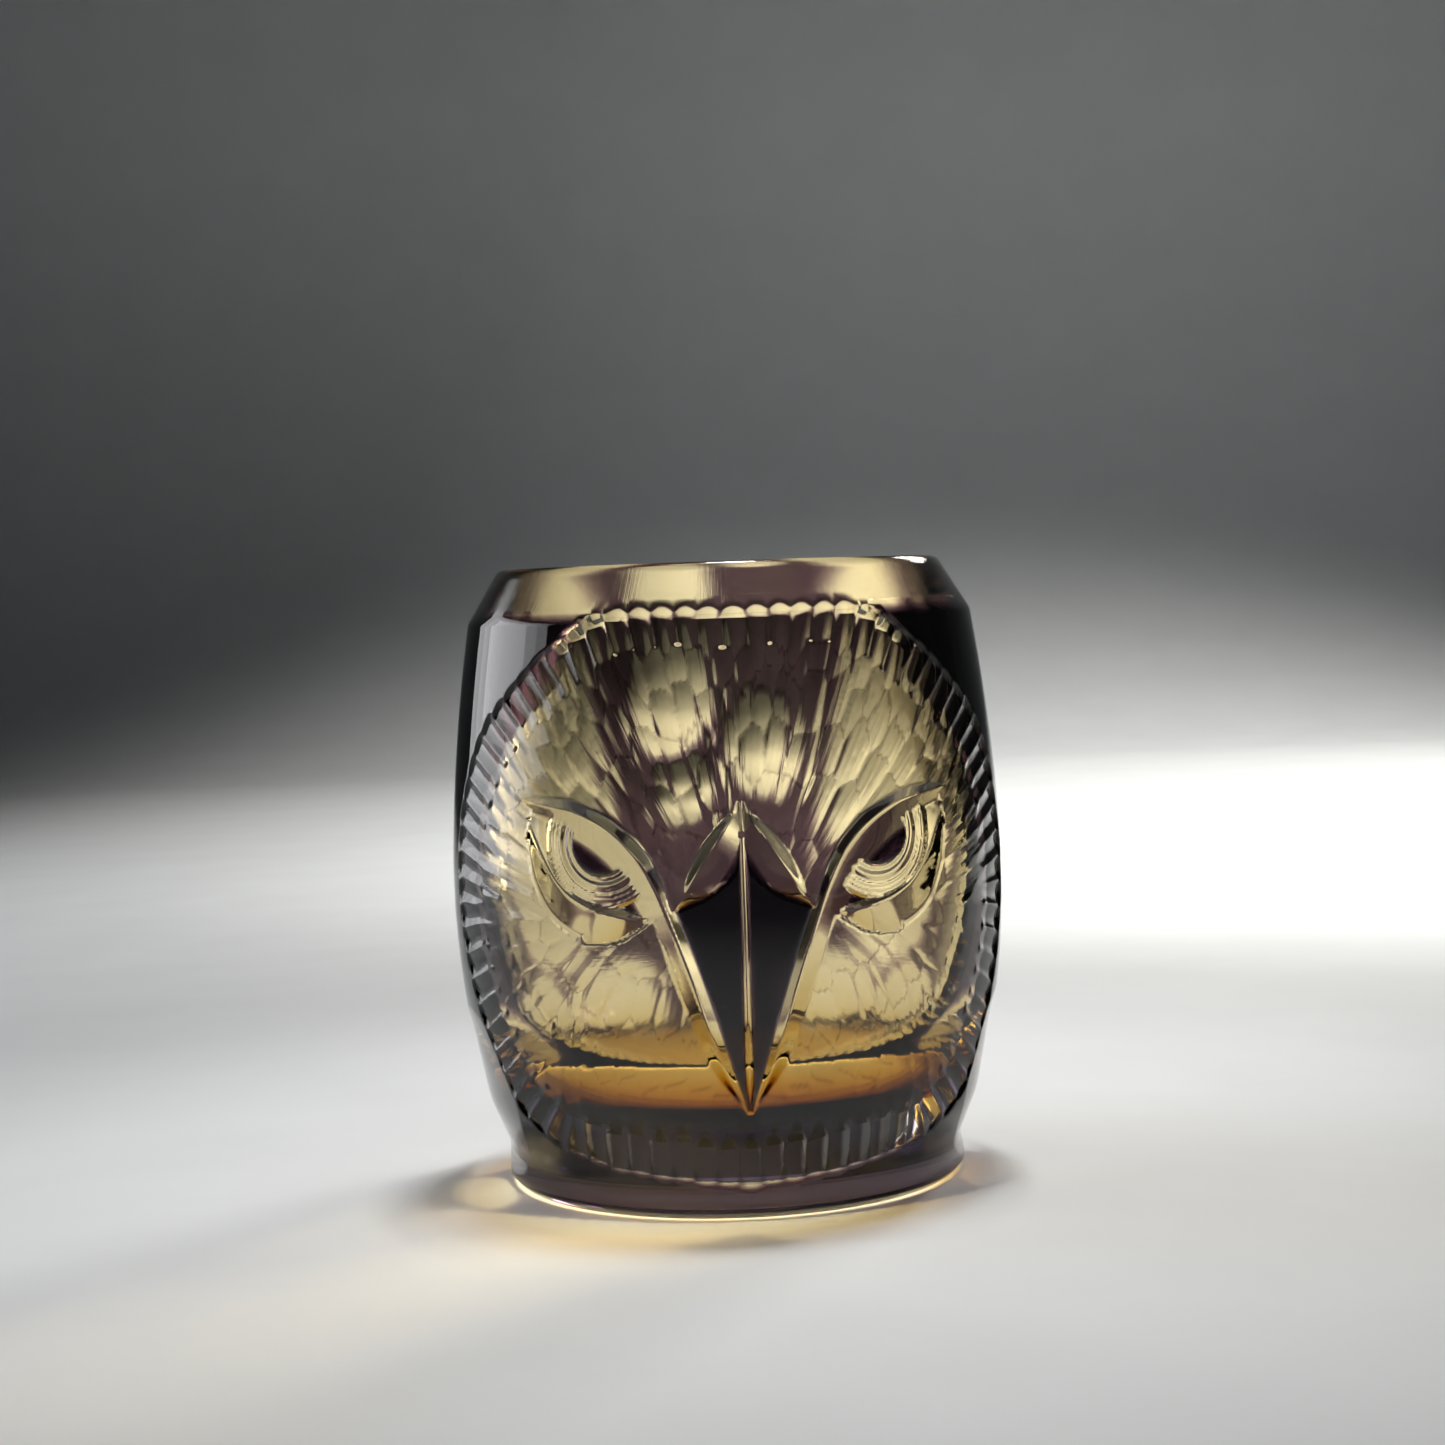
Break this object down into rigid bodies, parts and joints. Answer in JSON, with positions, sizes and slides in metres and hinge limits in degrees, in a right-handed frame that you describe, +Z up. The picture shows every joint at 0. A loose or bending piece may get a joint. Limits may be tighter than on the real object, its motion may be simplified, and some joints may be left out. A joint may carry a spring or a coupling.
{
  "type": "cut crystal tumbler",
  "caption": "Barrel-shaped drinking glass of three glass layers, with a bevelled rim, a thick base and a bird-of-prey face cut through its dark overlay.",
  "frame": {"origin": "centre of the flat foot, on the table", "axes": "+Z up the axis of the glass, the cut face looks along -Y, +X is to the right of a viewer facing it"},
  "size_m": [0.084, 0.084, 0.0933],
  "materials": {
    "crystal": "polished, with finely ground wheel cuts",
    "amber": "polished",
    "overlay": "polished"
  },
  "bodies": {
    "root": {"crystal_body": "crystal", "amber_lining": "amber", "overlay_casing": "overlay", "overlay_beak_left": "overlay", "overlay_beak_right": "overlay", "overlay_pupil_left": "overlay", "overlay_pupil_right": "overlay", "overlay_eye_corner_left": "overlay", "overlay_eye_corner_right": "overlay"}
  },
  "joints": []
}
